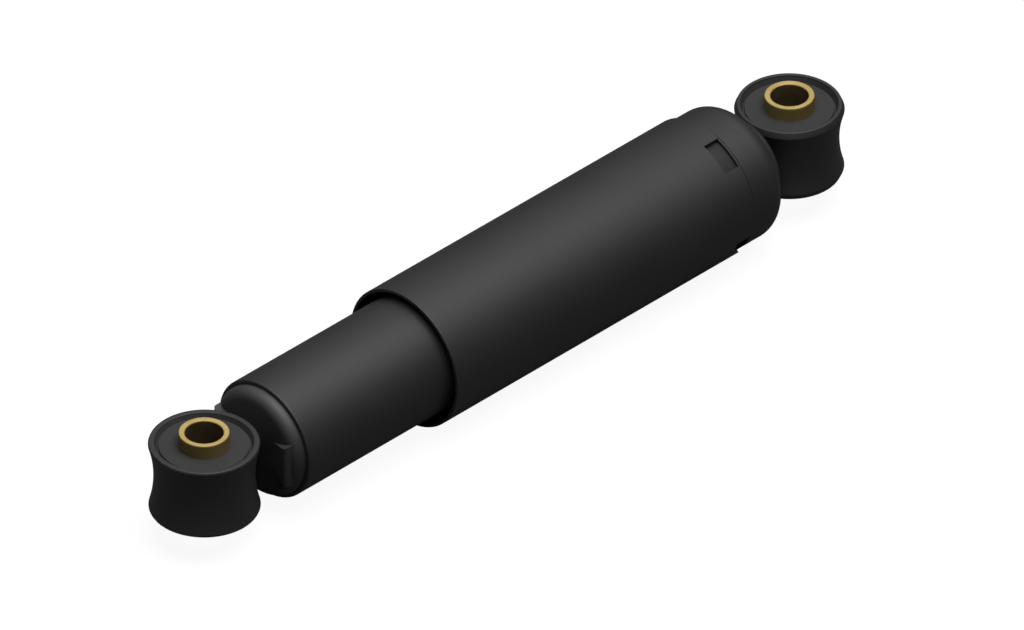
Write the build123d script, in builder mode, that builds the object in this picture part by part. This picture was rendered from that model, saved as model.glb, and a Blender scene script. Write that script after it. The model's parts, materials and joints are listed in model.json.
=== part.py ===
from build123d import *
import math
import os

# Twin-tube hydraulic shock absorber with a rubber-bushed eye at each end, for a trailer axle.
# Frame: the origin is the centre of the lower eye, +X runs along the strut to the upper eye,
# and +Z runs along both eye bores. All sizes are millimetres, at half stroke.
# Radii end in _r, lengths along the strut in _length, stations on it in _x.

# Strokes from the pose that is modelled; the strut is as long as they and its pieces make it
stroke_in = 44.0
stroke_out = 44.0

# Running and assembly clearances
running_play = 0.05
valve_play = 0.08
tab_play = 0.1
disc_film = 0.02
stroke_reserve = 0.8
end_reserve = 1.84
closed_gap = 3.5

# Eyes: a steel sleeve in a rubber bush, which is bonded in a waisted steel ring
bolt_bore_r = 6.1
sleeve_wall = 2.0
sleeve_length = 32.0
sleeve_chamfer = 0.4
ring_height = 24.0
ring_waist_r = 15.95
ring_flare = 1.65
ring_wall = 2.0
lower_lip_height = 0.7
lower_lip_taper = 0.35
upper_lip_height = 2.0
upper_lip_taper = 0.9
bush_relief = 1.3
bush_recess = 1.1
bush_chamfer = 0.5
bush_free_height = 4.0

# Pressure tube
pressure_bore_r = 12.5
pressure_wall = 1.25

# Reservoir tube round it, and the cap that closes its foot
reservoir_gap = 5.0
reservoir_wall = 1.5
reservoir_roll_r = 4.0
reservoir_lip = 3.95
base_dome_width = 8.75
base_dome_rise = 6.1
base_ledge = 1.5
base_cap_wall = 2.5
base_cap_skirt = 6.0

# Ears pressed in the base cap, and the necks that are welded between the eyes and the caps
ear_height = 14.0
ear_setback = 0.8
ear_inset = 1.15
ear_corner_r = 4.5
ear_foot_gap = 0.3
lower_neck_length = 2.55
upper_neck_length = 2.55
neck_width = 17.0
neck_height = 14.0
neck_edge_r = 1.2

# Dust tube and the cap that carries it
dust_gap = 2.6
dust_tube_wall = 1.0
dust_tube_length = 132.6
tab_length = 6.7
tab_arc = 27.3
tab_depth = 2.0
tab_first_angle = 32.0
tab_count = 4
upper_cap_wall = 2.0
upper_cap_skirt = 14.4
upper_cap_bare_length = 9.6
upper_shoulder_r = 7.0
boss_ledge = 0.25
boss_round = 2.6
boss_rise = 4.5

# Base valve
base_recess_depth = 5.0
base_plate_length = 3.0
base_land_length = 2.0
base_valve_rim = 1.2
base_valve_foot_wall = 2.35
base_slot_width = 6.0
base_slot_count = 4
bleed_hole_r = 1.0
bleed_ring_r = 6.9
bleed_hole_count = 6
intake_hole_r = 1.1
intake_ring_inset = 2.6
intake_hole_count = 10
valve_boss_r = 5.2
valve_boss_height = 2.4
plate_width = 3.22
plate_rim_wall = 0.9
plate_thickness = 0.6
star_thickness = 0.3
star_window_count = 6
star_window_width = 3.4
star_hub_width = 1.4
disc_thickness = 0.35
disc_count = 3
disc_cover = 0.7
disc_step_r = 1.1
bolt_r = 4.0
bolt_head_r = 6.5
bolt_head_length = 2.4
retainer_r = 6.6
retainer_thickness = 1.2
nut_flats = 13.0
base_nut_length = 4.6

# Rod guide, its bushing and the seal above it
guide_spigot_length = 6.0
guide_length = 11.5
guide_bushing_wall = 1.95
guide_bushing_inset = 0.5
guide_recess_width = 4.0
guide_recess_depth = 4.5
drain_groove_inset = 1.75
drain_groove_depth = 1.2
drain_hole_r = 1.2
drain_hole_count = 6
seal_thickness = 3.7
seal_lip_wall = 2.15
seal_lip_drop = 3.0
seal_dust_lip = 2.6
seal_dust_lip_wall = 0.85
garter_wire_r = 0.7
garter_sink = 0.3
seal_washer_thickness = 1.8
seal_washer_gap = 3.2

# Piston rod and piston
rod_r = 6.0
rod_spigot_r = 4.0
rod_chamfer = 0.6
piston_length = 8.0
piston_gap = 0.2
piston_boss_height = 2.2
band_thickness = 1.4
band_length = 4.5
band_gap_width = 0.8
stop_washer_r = 8.6
stop_washer_thickness = 1.5
seat_flange_r = 7.6
seat_thickness = 1.2
seat_hub_wall = 1.2
seat_hub_length = 2.2
spring_wire_r = 0.75
spring_play = 0.55
spring_length = 5.0
spring_turns = 2.5
nut_flange_r = 8.4
nut_flange_thickness = 1.0
piston_nut_length = 4.0
collar_wall = 3.0
collar_gap = 0.55
collar_length = 3.0
bumper_wall = 4.6
bumper_length = 5.0
bumper_crown = 1.2

# Derived radii, from the pressure tube outwards
pressure_r = pressure_bore_r + pressure_wall
reservoir_bore_r = pressure_r + reservoir_gap
reservoir_r = reservoir_bore_r + reservoir_wall
reservoir_lip_r = reservoir_bore_r - reservoir_lip
dust_bore_r = reservoir_r + dust_gap
dust_tube_r = dust_bore_r + dust_tube_wall
tab_floor_r = dust_tube_r - tab_depth
upper_skirt_bore_r = dust_bore_r - upper_cap_wall
shoulder_flat_r = dust_bore_r - upper_shoulder_r
boss_r = shoulder_flat_r - boss_ledge
boss_face_r = boss_r - boss_round
base_flat_r = reservoir_bore_r - base_dome_width
base_skirt_bore_r = reservoir_bore_r - base_cap_wall
ear_reach = reservoir_bore_r - ear_inset
base_valve_recess_r = pressure_r - base_valve_foot_wall
intake_ring_r = pressure_bore_r - intake_ring_inset
plate_outer_r = pressure_bore_r - plate_rim_wall - valve_play
plate_inner_r = plate_outer_r - plate_width
disc_outer_r = bleed_ring_r + bleed_hole_r + disc_cover
drain_groove_r = reservoir_bore_r - drain_groove_inset
guide_bushing_r = rod_r + running_play + guide_bushing_wall
guide_recess_r = guide_bushing_r + guide_recess_width
seal_lip_r = rod_r + running_play + seal_lip_wall
seal_dust_lip_r = rod_r + running_play + seal_dust_lip_wall
seal_washer_bore_r = rod_r + seal_washer_gap
seat_hub_r = rod_spigot_r + seat_hub_wall
spring_mean_r = seat_hub_r + spring_play + spring_wire_r
collar_r = rod_r + collar_wall
bumper_r = rod_r + bumper_wall
piston_r = pressure_bore_r - piston_gap

# Derived sizes of the eyes
sleeve_r = bolt_bore_r + sleeve_wall
ring_rim_r = ring_waist_r + ring_flare
ring_half = ring_height / 2
inner_rim_r = ring_rim_r - ring_wall
inner_waist_r = ring_waist_r - ring_wall
bush_half = ring_half - bush_recess
bush_face_r = inner_rim_r - bush_relief

# Stations of the foot, from the lower eye's centre upwards
base_face_x = ring_waist_r + lower_neck_length
base_inner_x = base_face_x + base_cap_wall
base_dome_x = base_face_x + base_dome_rise
reservoir_foot_x = base_dome_x + base_ledge
base_skirt_end_x = reservoir_foot_x + base_cap_skirt
ear_front_x = base_face_x + ear_setback
ear_back_x = reservoir_foot_x - ear_foot_gap
base_valve_recess_x = base_inner_x + base_recess_depth
base_valve_shoulder_x = base_valve_recess_x + base_plate_length
base_valve_top_x = base_valve_shoulder_x + base_land_length
base_star_x = base_valve_top_x + valve_boss_height
base_retainer_x = base_star_x + star_thickness
base_nut_x = base_retainer_x + retainer_thickness
base_nut_end_x = base_nut_x + base_nut_length

# Stations of the rod, from its end upwards: closed, it stops short of the base valve's nut
rod_end_x = base_nut_end_x + stroke_in + end_reserve
spring_foot_x = rod_end_x + piston_nut_length + nut_flange_thickness
spring_top_x = spring_foot_x + spring_length
seat_top_x = spring_top_x + seat_thickness
disc_stack = disc_count * (disc_thickness + disc_film)
piston_foot_x = seat_top_x + disc_stack
piston_top_x = piston_foot_x + piston_length
rod_shoulder_x = piston_top_x + piston_boss_height + star_thickness + stop_washer_thickness
collar_x = rod_shoulder_x + collar_gap
bumper_x = collar_x + collar_length

# Stations of the guide and the seal: open, the bumper stops just short of the guide
guide_spigot_x = bumper_x + bumper_length + stroke_reserve + stroke_out
guide_x = guide_spigot_x + guide_spigot_length
guide_top_x = guide_x + guide_length
seal_top_x = guide_top_x + seal_thickness
seal_washer_top_x = seal_top_x + seal_washer_thickness
reservoir_top_x = seal_washer_top_x + reservoir_wall

# Stations of the head: closed, the upper cap stops just short of the reservoir tube
upper_inner_x = reservoir_top_x + stroke_in + closed_gap
upper_face_x = upper_inner_x + upper_cap_wall
upper_shoulder_x = upper_face_x - upper_shoulder_r
boss_face_x = upper_face_x + boss_rise
eye_distance = boss_face_x + upper_neck_length + ring_waist_r
dust_tube_end_x = upper_shoulder_x - upper_cap_bare_length
dust_tube_mouth_x = dust_tube_end_x - dust_tube_length
upper_cap_skirt_x = dust_tube_end_x - upper_cap_skirt
tab_start_x = dust_tube_end_x - tab_length

os.makedirs("parts", exist_ok=True)


def save(builder, name):
    """Labels a finished piece and writes it under its node's name."""
    builder.part.label = name
    export_step(builder.part, f"parts/{name}.step")


def eye_plane(eye_x):
    """The plane of an eye's section: radius along X and height along Z, from the eye's centre."""
    return Plane(origin=(eye_x, 0, 0), x_dir=(1, 0, 0), z_dir=(0, -1, 0))


def eye_axis(eye_x):
    return Axis((eye_x, 0, 0), (0, 0, 1))


def radial_plane(angle):
    """The plane through the strut's axis at an angle from +Z towards -Y, radius along its Y."""
    turn = math.radians(angle)
    return Plane(origin=(0, 0, 0), x_dir=(1, 0, 0), z_dir=(0, -math.cos(turn), -math.sin(turn)))


def station(x):
    """The plane square to the strut at x, with Y and Z as its own axes."""
    return Plane.YZ.offset(x)


def waist_radius(height, rim_r, waist_r, half):
    """The radius at a height of the arc that runs from rim to waist to rim."""
    drop = rim_r - waist_r
    bow = (half**2 + drop**2) / (2 * drop)
    return waist_r + bow - math.sqrt(bow**2 - height**2)


# Eyes
def make_sleeve(eye_x):
    with BuildPart() as sleeve:
        with BuildSketch(Plane((eye_x, 0, -sleeve_length / 2))):
            Circle(sleeve_r)
            Circle(bolt_bore_r, mode=Mode.SUBTRACT)
        extrude(amount=sleeve_length)
        chamfer(sleeve.edges().filter_by(GeomType.CIRCLE), sleeve_chamfer)
    return sleeve


def make_bush(eye_x):
    """Rubber, bonded to the ring at its waist and standing free of it towards each face."""
    bond = ring_half - bush_free_height
    bond_r = waist_radius(bond, inner_rim_r, inner_waist_r, ring_half)
    bore_r = sleeve_r + running_play
    with BuildPart() as bush:
        with BuildSketch(eye_plane(eye_x)):
            with BuildLine():
                ThreePointArc((bond_r, -bond), (inner_waist_r, 0), (bond_r, bond))
                Polyline(
                    (bond_r, bond),
                    (bush_face_r, bush_half - bush_chamfer),
                    (bush_face_r - bush_chamfer, bush_half),
                    (bore_r, bush_half),
                    (bore_r, -bush_half),
                    (bush_face_r - bush_chamfer, -bush_half),
                    (bush_face_r, -bush_half + bush_chamfer),
                    (bond_r, -bond),
                )
            make_face()
        revolve(axis=eye_axis(eye_x))
    return bush


def make_eye_ring(eye_x, lip_height, lip_taper):
    """A ring with a waist that keeps the rubber in, and a tapered lip round each rim."""
    lip_z = ring_half - lip_height
    with BuildPart() as ring:
        with BuildSketch(eye_plane(eye_x)):
            with BuildLine():
                ThreePointArc((ring_rim_r, -lip_z), (ring_waist_r, 0), (ring_rim_r, lip_z))
                Polyline(
                    (ring_rim_r, lip_z),
                    (ring_rim_r - lip_taper, ring_half),
                    (inner_rim_r, ring_half),
                )
                ThreePointArc(
                    (inner_rim_r, ring_half),
                    (inner_waist_r, 0),
                    (inner_rim_r, -ring_half),
                )
                Polyline(
                    (inner_rim_r, -ring_half),
                    (ring_rim_r - lip_taper, -ring_half),
                    (ring_rim_r, -lip_z),
                )
            make_face()
        revolve(axis=eye_axis(eye_x))
    return ring


def make_ring_blank(eye_x, lip_height):
    """The solid form of an eye ring, which a neck is cut to fit."""
    lip_z = ring_half - lip_height
    with BuildPart() as blank:
        with BuildSketch(eye_plane(eye_x)):
            with BuildLine():
                ThreePointArc((ring_rim_r, -lip_z), (ring_waist_r, 0), (ring_rim_r, lip_z))
                Polyline((ring_rim_r, lip_z), (0, lip_z), (0, -lip_z), (ring_rim_r, -lip_z))
            make_face()
        revolve(axis=eye_axis(eye_x))
    return blank


# Reservoir tube, rolled over at its top, and its base cap
with BuildPart() as reservoir_tube:
    roll_x = reservoir_top_x - reservoir_roll_r
    roll_bore_r = reservoir_roll_r - reservoir_wall
    roll_r = reservoir_r - reservoir_roll_r
    with BuildSketch(Plane.XZ):
        with BuildLine():
            Line((reservoir_foot_x, reservoir_bore_r), (reservoir_foot_x, reservoir_r))
            Line((reservoir_foot_x, reservoir_r), (roll_x, reservoir_r))
            RadiusArc((roll_x, reservoir_r), (reservoir_top_x, roll_r), reservoir_roll_r)
            Polyline(
                (reservoir_top_x, roll_r),
                (reservoir_top_x, reservoir_lip_r),
                (seal_washer_top_x, reservoir_lip_r),
                (seal_washer_top_x, roll_r),
            )
            RadiusArc((seal_washer_top_x, roll_r), (roll_x, reservoir_bore_r), -roll_bore_r)
            Line((roll_x, reservoir_bore_r), (reservoir_foot_x, reservoir_bore_r))
        make_face()
    revolve(axis=Axis.X)
save(reservoir_tube, "reservoir_tube")


def dome_bow(rise, run):
    """The radius of an arc that leaves a flat face square to the axis and reaches rise by run."""
    return (rise**2 + run**2) / (2 * rise)


base_bow = dome_bow(base_dome_x - base_face_x, reservoir_bore_r - base_flat_r)
base_inner_bow = base_bow - base_cap_wall
base_inner_dome_x = base_face_x + base_bow - math.sqrt(
    base_inner_bow**2 - (base_skirt_bore_r - base_flat_r) ** 2
)

with BuildPart() as base_cap:
    with BuildSketch(Plane.XZ):
        with BuildLine():
            Line((base_face_x, 0), (base_face_x, base_flat_r))
            RadiusArc((base_face_x, base_flat_r), (base_dome_x, reservoir_bore_r), base_bow)
            Polyline(
                (base_dome_x, reservoir_bore_r),
                (base_skirt_end_x, reservoir_bore_r),
                (base_skirt_end_x, 0),
                (base_face_x, 0),
            )
        make_face()
    revolve(axis=Axis.X)
    with BuildSketch(Plane.XY.offset(-ear_height / 2)) as ears:
        with Locations(((ear_front_x + ear_back_x) / 2, 0)):
            Rectangle(ear_back_x - ear_front_x, 2 * ear_reach)
        fillet(ears.vertices().sort_by(Axis.X)[:2], ear_corner_r)
    extrude(amount=ear_height)
    with BuildSketch(Plane.XZ):
        with BuildLine():
            Line((base_inner_x, 0), (base_inner_x, base_flat_r))
            RadiusArc(
                (base_inner_x, base_flat_r),
                (base_inner_dome_x, base_skirt_bore_r),
                base_inner_bow,
            )
            Polyline(
                (base_inner_dome_x, base_skirt_bore_r),
                (base_skirt_end_x, base_skirt_bore_r),
                (base_skirt_end_x, 0),
                (base_inner_x, 0),
            )
        make_face()
    revolve(axis=Axis.X, mode=Mode.SUBTRACT)
save(base_cap, "base_cap")

# Lower eye and the neck that joins it to the base cap
lower_sleeve = make_sleeve(0)
save(lower_sleeve, "lower_sleeve")
lower_bush = make_bush(0)
save(lower_bush, "lower_bush")
lower_eye_ring = make_eye_ring(0, lower_lip_height, lower_lip_taper)
save(lower_eye_ring, "lower_eye_ring")


def make_neck(eye_x, face_x, ring_blank):
    """A short steel neck from a cap's flat face to the waist of an eye ring."""
    with BuildPart() as neck:
        with BuildSketch(Plane.XY.offset(-neck_height / 2)):
            with Locations(((eye_x + face_x) / 2, 0)):
                Rectangle(abs(face_x - eye_x), neck_width)
        extrude(amount=neck_height)
        fillet(neck.edges().filter_by(Axis.X), neck_edge_r)
        add(ring_blank.part, mode=Mode.SUBTRACT)
    return neck


lower_neck = make_neck(0, base_face_x, make_ring_blank(0, lower_lip_height))
save(lower_neck, "lower_neck")

# Pressure tube, from the base valve's shoulder to the rod guide
with BuildPart() as pressure_tube:
    with BuildSketch(station(base_valve_shoulder_x)):
        Circle(pressure_r)
        Circle(pressure_bore_r, mode=Mode.SUBTRACT)
    extrude(amount=guide_x - base_valve_shoulder_x)
save(pressure_tube, "pressure_tube")

# Base valve: a body with an intake ring under a sprung plate and a bleed ring over a disc stack
with BuildPart() as base_valve_body:
    with BuildSketch(Plane.XZ):
        with BuildLine():
            Polyline(
                (base_inner_x, 0),
                (base_inner_x, pressure_r),
                (base_valve_shoulder_x, pressure_r),
                (base_valve_shoulder_x, pressure_bore_r),
                (base_valve_top_x + base_valve_rim, pressure_bore_r),
                (base_valve_top_x + base_valve_rim, pressure_bore_r - plate_rim_wall),
                (base_valve_top_x, pressure_bore_r - plate_rim_wall),
                (base_valve_top_x, valve_boss_r),
                (base_valve_top_x + valve_boss_height, valve_boss_r),
                (base_valve_top_x + valve_boss_height, 0),
                close=True,
            )
        make_face()
    revolve(axis=Axis.X)
    with BuildSketch(station(base_inner_x)):
        Circle(base_valve_recess_r)
    extrude(amount=base_valve_recess_x - base_inner_x, mode=Mode.SUBTRACT)
    with BuildSketch(station(base_inner_x)):
        with PolarLocations(pressure_r, base_slot_count):
            Rectangle(base_slot_width, base_slot_width)
    extrude(amount=base_valve_recess_x - base_inner_x, mode=Mode.SUBTRACT)
    with BuildSketch(station(base_valve_recess_x)):
        Circle(bolt_r)
        with PolarLocations(bleed_ring_r, bleed_hole_count):
            Circle(bleed_hole_r)
        with PolarLocations(intake_ring_r, intake_hole_count):
            Circle(intake_hole_r)
    extrude(amount=pressure_r, mode=Mode.SUBTRACT)
    add(base_cap.part, mode=Mode.SUBTRACT)
save(base_valve_body, "base_valve_body")


def make_discs(top_x, bore_r):
    """A stack of spring discs on a valve's face, each smaller than the one before."""
    with BuildPart() as discs:
        for index in range(disc_count):
            depth = disc_film + index * (disc_thickness + disc_film)
            with BuildSketch(station(top_x - depth)):
                Circle(disc_outer_r - index * disc_step_r)
                Circle(bore_r, mode=Mode.SUBTRACT)
            extrude(amount=-disc_thickness)
    return discs


def make_star(hub_x, seat_x, bore_r, tip_r):
    """A flat star spring: its hub is clamped at hub_x and its arms slope down to the plate."""
    bend_r = bore_r + star_hub_width
    with BuildPart() as star:
        with BuildSketch(Plane.XZ):
            with BuildLine():
                Polyline(
                    (hub_x, bore_r),
                    (hub_x, bend_r),
                    (seat_x, tip_r),
                    (seat_x + star_thickness, tip_r),
                    (hub_x + star_thickness, bend_r),
                    (hub_x + star_thickness, bore_r),
                    close=True,
                )
            make_face()
        revolve(axis=Axis.X)
        with BuildSketch(station(seat_x)):
            with PolarLocations((bend_r + tip_r) / 2 + star_hub_width, star_window_count):
                Rectangle(tip_r - bend_r + star_hub_width, star_window_width)
        extrude(amount=hub_x - seat_x + star_thickness, mode=Mode.SUBTRACT)
    return star


def make_plate(seat_x):
    """The ring plate that covers a valve's intake holes and lifts off them."""
    with BuildPart() as plate:
        with BuildSketch(station(seat_x)):
            Circle(plate_outer_r)
            Circle(plate_inner_r, mode=Mode.SUBTRACT)
        extrude(amount=plate_thickness)
    return plate


base_head_x = base_valve_recess_x - disc_stack

base_valve_discs = make_discs(base_valve_recess_x, bolt_r)
save(base_valve_discs, "base_valve_discs")
intake_plate = make_plate(base_valve_top_x)
save(intake_plate, "intake_plate")
intake_spring = make_star(
    base_star_x,
    base_valve_top_x + plate_thickness,
    bolt_r,
    plate_outer_r - plate_rim_wall,
)
save(intake_spring, "intake_spring")

with BuildPart() as base_valve_bolt:
    with BuildSketch(station(base_head_x)):
        Circle(bolt_r)
    extrude(amount=base_nut_end_x - base_head_x)
    with BuildSketch(station(base_head_x)):
        Circle(bolt_head_r)
    extrude(amount=-bolt_head_length)
save(base_valve_bolt, "base_valve_bolt")

with BuildPart() as base_valve_retainer:
    with BuildSketch(station(base_retainer_x)):
        Circle(retainer_r)
        Circle(bolt_r, mode=Mode.SUBTRACT)
    extrude(amount=retainer_thickness)
save(base_valve_retainer, "base_valve_retainer")

with BuildPart() as base_valve_nut:
    with BuildSketch(station(base_nut_x)):
        RegularPolygon(nut_flats / 2, 6, major_radius=False)
        Circle(bolt_r, mode=Mode.SUBTRACT)
    extrude(amount=base_nut_length)
save(base_valve_nut, "base_valve_nut")

# Rod guide, bushing, seal and the washer that the tube is rolled over
with BuildPart() as rod_guide:
    with BuildSketch(Plane.XZ):
        with BuildLine():
            Polyline(
                (guide_spigot_x, guide_bushing_r),
                (guide_spigot_x, pressure_bore_r),
                (guide_x, pressure_bore_r),
                (guide_x, reservoir_bore_r),
                (guide_top_x, reservoir_bore_r),
                (guide_top_x, drain_groove_r),
                (guide_top_x - drain_groove_depth, drain_groove_r),
                (guide_top_x - drain_groove_depth, guide_recess_r),
                (guide_top_x - guide_recess_depth, guide_recess_r),
                (guide_top_x - guide_recess_depth, guide_bushing_r),
                close=True,
            )
        make_face()
    revolve(axis=Axis.X)
    with BuildSketch(station(guide_x)):
        with PolarLocations((pressure_r + drain_groove_r) / 2, drain_hole_count):
            Circle(drain_hole_r)
    extrude(amount=guide_length, mode=Mode.SUBTRACT)
save(rod_guide, "rod_guide")

with BuildPart() as guide_bushing:
    with BuildSketch(station(guide_spigot_x + guide_bushing_inset)):
        Circle(guide_bushing_r)
        Circle(rod_r + running_play, mode=Mode.SUBTRACT)
    extrude(amount=guide_top_x - guide_recess_depth - guide_spigot_x - 2 * guide_bushing_inset)
    chamfer(guide_bushing.edges().filter_by(GeomType.CIRCLE), running_play * 4)
save(guide_bushing, "guide_bushing")

garter_x = guide_top_x - seal_lip_drop + garter_wire_r + garter_sink
garter_r = seal_lip_r + garter_wire_r - garter_sink

with BuildPart() as garter_spring:
    with BuildSketch(Plane.XZ):
        with Locations((garter_x, garter_r)):
            Circle(garter_wire_r)
    revolve(axis=Axis.X)
save(garter_spring, "garter_spring")

with BuildPart() as rod_seal:
    with BuildSketch(Plane.XZ):
        with BuildLine():
            Polyline(
                (guide_top_x - seal_lip_drop, rod_r + running_play),
                (guide_top_x - seal_lip_drop, seal_lip_r),
                (guide_top_x, seal_lip_r + garter_wire_r),
                (guide_top_x, reservoir_bore_r),
                (seal_top_x, reservoir_bore_r),
                (seal_top_x, seal_lip_r),
                (seal_top_x + seal_dust_lip, seal_dust_lip_r),
                (seal_top_x + seal_dust_lip, rod_r + running_play),
                close=True,
            )
        make_face()
    revolve(axis=Axis.X)
    add(garter_spring.part, mode=Mode.SUBTRACT)
    add(reservoir_tube.part, mode=Mode.SUBTRACT)
save(rod_seal, "rod_seal")

with BuildPart() as seal_washer:
    with BuildSketch(station(seal_top_x)):
        Circle(reservoir_bore_r)
        Circle(seal_washer_bore_r, mode=Mode.SUBTRACT)
    extrude(amount=seal_washer_thickness)
    add(reservoir_tube.part, mode=Mode.SUBTRACT)
save(seal_washer, "seal_washer")

# Piston rod with its spigot, and what the nut clamps on it
with BuildPart() as piston_rod:
    with BuildSketch(Plane.XZ):
        with BuildLine():
            Polyline(
                (rod_end_x, 0),
                (rod_end_x, rod_spigot_r - rod_chamfer),
                (rod_end_x + rod_chamfer, rod_spigot_r),
                (rod_shoulder_x, rod_spigot_r),
                (rod_shoulder_x, rod_r - rod_chamfer),
                (rod_shoulder_x + rod_chamfer, rod_r),
                (boss_face_x, rod_r),
                (boss_face_x, 0),
                close=True,
            )
        make_face()
    revolve(axis=Axis.X)
save(piston_rod, "piston_rod")

band_x = piston_foot_x + (piston_length - band_length) / 2
with BuildPart() as piston:
    with BuildSketch(Plane.XZ):
        with BuildLine():
            Polyline(
                (piston_foot_x, rod_spigot_r),
                (piston_foot_x, piston_r),
                (band_x, piston_r),
                (band_x, pressure_bore_r - running_play - band_thickness),
                (band_x + band_length, pressure_bore_r - running_play - band_thickness),
                (band_x + band_length, piston_r),
                (piston_top_x + base_valve_rim, piston_r),
                (piston_top_x + base_valve_rim, pressure_bore_r - plate_rim_wall),
                (piston_top_x, pressure_bore_r - plate_rim_wall),
                (piston_top_x, valve_boss_r),
                (piston_top_x + piston_boss_height, valve_boss_r),
                (piston_top_x + piston_boss_height, rod_spigot_r),
                close=True,
            )
        make_face()
    revolve(axis=Axis.X)
    with BuildSketch(station(piston_foot_x)):
        with PolarLocations(bleed_ring_r, bleed_hole_count):
            Circle(bleed_hole_r)
        with PolarLocations(intake_ring_r, intake_hole_count):
            Circle(intake_hole_r)
    extrude(amount=piston_length, mode=Mode.SUBTRACT)
save(piston, "piston")

with BuildPart() as piston_band:
    with BuildSketch(station(band_x)):
        Circle(pressure_bore_r - running_play)
        Circle(pressure_bore_r - running_play - band_thickness, mode=Mode.SUBTRACT)
    extrude(amount=band_length)
    with BuildSketch(station(band_x)):
        with Locations((0, pressure_bore_r)):
            Rectangle(band_gap_width, 4 * band_thickness)
    extrude(amount=band_length, mode=Mode.SUBTRACT)
save(piston_band, "piston_band")

check_plate = make_plate(piston_top_x)
save(check_plate, "check_plate")
check_spring = make_star(
    piston_top_x + piston_boss_height,
    piston_top_x + plate_thickness,
    rod_spigot_r,
    plate_outer_r - plate_rim_wall,
)
save(check_spring, "check_spring")

with BuildPart() as stop_washer:
    with BuildSketch(station(rod_shoulder_x)):
        Circle(stop_washer_r)
        Circle(rod_spigot_r, mode=Mode.SUBTRACT)
    extrude(amount=-stop_washer_thickness)
save(stop_washer, "stop_washer")

rebound_discs = make_discs(piston_foot_x, rod_spigot_r)
save(rebound_discs, "rebound_discs")

with BuildPart() as spring_seat:
    with BuildSketch(station(spring_top_x)):
        Circle(seat_flange_r)
    extrude(amount=seat_thickness)
    with BuildSketch(station(spring_top_x)):
        Circle(seat_hub_r)
    extrude(amount=-seat_hub_length)
    with BuildSketch(station(seat_top_x)):
        Circle(rod_spigot_r)
    extrude(amount=-seat_thickness - seat_hub_length, mode=Mode.SUBTRACT)
save(spring_seat, "spring_seat")

with BuildPart() as rebound_spring:
    coil_height = spring_length - 2 * spring_wire_r - 2 * disc_film
    coil_foot_x = spring_foot_x + spring_wire_r + disc_film
    with BuildLine() as coil:
        Helix(coil_height / spring_turns, coil_height, spring_mean_r, (coil_foot_x, 0, 0), (1, 0, 0))
    with BuildSketch(Plane(origin=coil.line @ 0, z_dir=coil.line % 0)):
        Circle(spring_wire_r)
    sweep(is_frenet=True)
save(rebound_spring, "rebound_spring")

with BuildPart() as piston_nut:
    with BuildSketch(station(spring_foot_x)):
        Circle(nut_flange_r)
    extrude(amount=-nut_flange_thickness)
    with BuildSketch(station(spring_foot_x - nut_flange_thickness)):
        RegularPolygon(nut_flats / 2, 6, major_radius=False)
    extrude(amount=-piston_nut_length)
    with BuildSketch(station(spring_foot_x)):
        Circle(rod_spigot_r)
    extrude(amount=-nut_flange_thickness - piston_nut_length, mode=Mode.SUBTRACT)
save(piston_nut, "piston_nut")

# Rebound stop: a steel collar on the rod that carries a rubber bumper
with BuildPart() as stop_collar:
    with BuildSketch(station(collar_x)):
        Circle(collar_r)
        Circle(rod_r, mode=Mode.SUBTRACT)
    extrude(amount=collar_length)
    chamfer(stop_collar.edges().filter_by(GeomType.CIRCLE).sort_by(Axis.X)[0:2], rod_chamfer)
save(stop_collar, "stop_collar")

with BuildPart() as rebound_bumper:
    with BuildSketch(station(bumper_x)):
        Circle(bumper_r)
        Circle(rod_r, mode=Mode.SUBTRACT)
    extrude(amount=bumper_length)
    fillet(rebound_bumper.edges().filter_by(GeomType.CIRCLE).sort_by(SortBy.RADIUS)[-2:], bumper_crown)
save(rebound_bumper, "rebound_bumper")

# Upper cap: a skirt inside the dust tube, a rounded shoulder and a raised boss
boss_inner_x = boss_face_x - upper_cap_wall
boss_corner_x = boss_face_x - boss_round
boss_wall_r = boss_r - upper_cap_wall

with BuildPart() as upper_cap:
    with BuildSketch(Plane.XZ):
        with BuildLine():
            Line((upper_cap_skirt_x, upper_skirt_bore_r), (upper_cap_skirt_x, dust_bore_r))
            Line((upper_cap_skirt_x, dust_bore_r), (upper_shoulder_x, dust_bore_r))
            RadiusArc((upper_shoulder_x, dust_bore_r), (upper_face_x, shoulder_flat_r), upper_shoulder_r)
            Polyline(
                (upper_face_x, shoulder_flat_r),
                (upper_face_x, boss_r),
                (boss_corner_x, boss_r),
            )
            RadiusArc(
                (boss_corner_x, boss_r),
                (boss_face_x, boss_face_r),
                boss_round,
            )
            Polyline(
                (boss_face_x, boss_face_r),
                (boss_face_x, rod_r),
                (boss_inner_x, rod_r),
                (boss_inner_x, boss_face_r - upper_cap_wall),
                (boss_corner_x, boss_wall_r),
                (upper_inner_x, boss_wall_r),
                (upper_inner_x, shoulder_flat_r),
            )
            RadiusArc(
                (upper_inner_x, shoulder_flat_r),
                (upper_shoulder_x, upper_skirt_bore_r),
                -(upper_shoulder_r - upper_cap_wall),
            )
            Line((upper_shoulder_x, upper_skirt_bore_r), (upper_cap_skirt_x, upper_skirt_bore_r))
        make_face()
    revolve(axis=Axis.X)
    window_arc = tab_arc + 2 * math.degrees(tab_play / dust_bore_r)
    window_start_x = tab_start_x - dust_tube_wall - tab_play
    for index in range(tab_count):
        angle = tab_first_angle + index * 360 / tab_count - window_arc / 2
        with BuildSketch(radial_plane(angle)):
            with BuildLine():
                Polyline(
                    (window_start_x, upper_skirt_bore_r - tab_play),
                    (dust_tube_end_x, upper_skirt_bore_r - tab_play),
                    (dust_tube_end_x, dust_tube_r),
                    (window_start_x, dust_tube_r),
                    close=True,
                )
            make_face()
        revolve(axis=Axis.X, revolution_arc=window_arc, mode=Mode.SUBTRACT)
save(upper_cap, "upper_cap")

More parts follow.
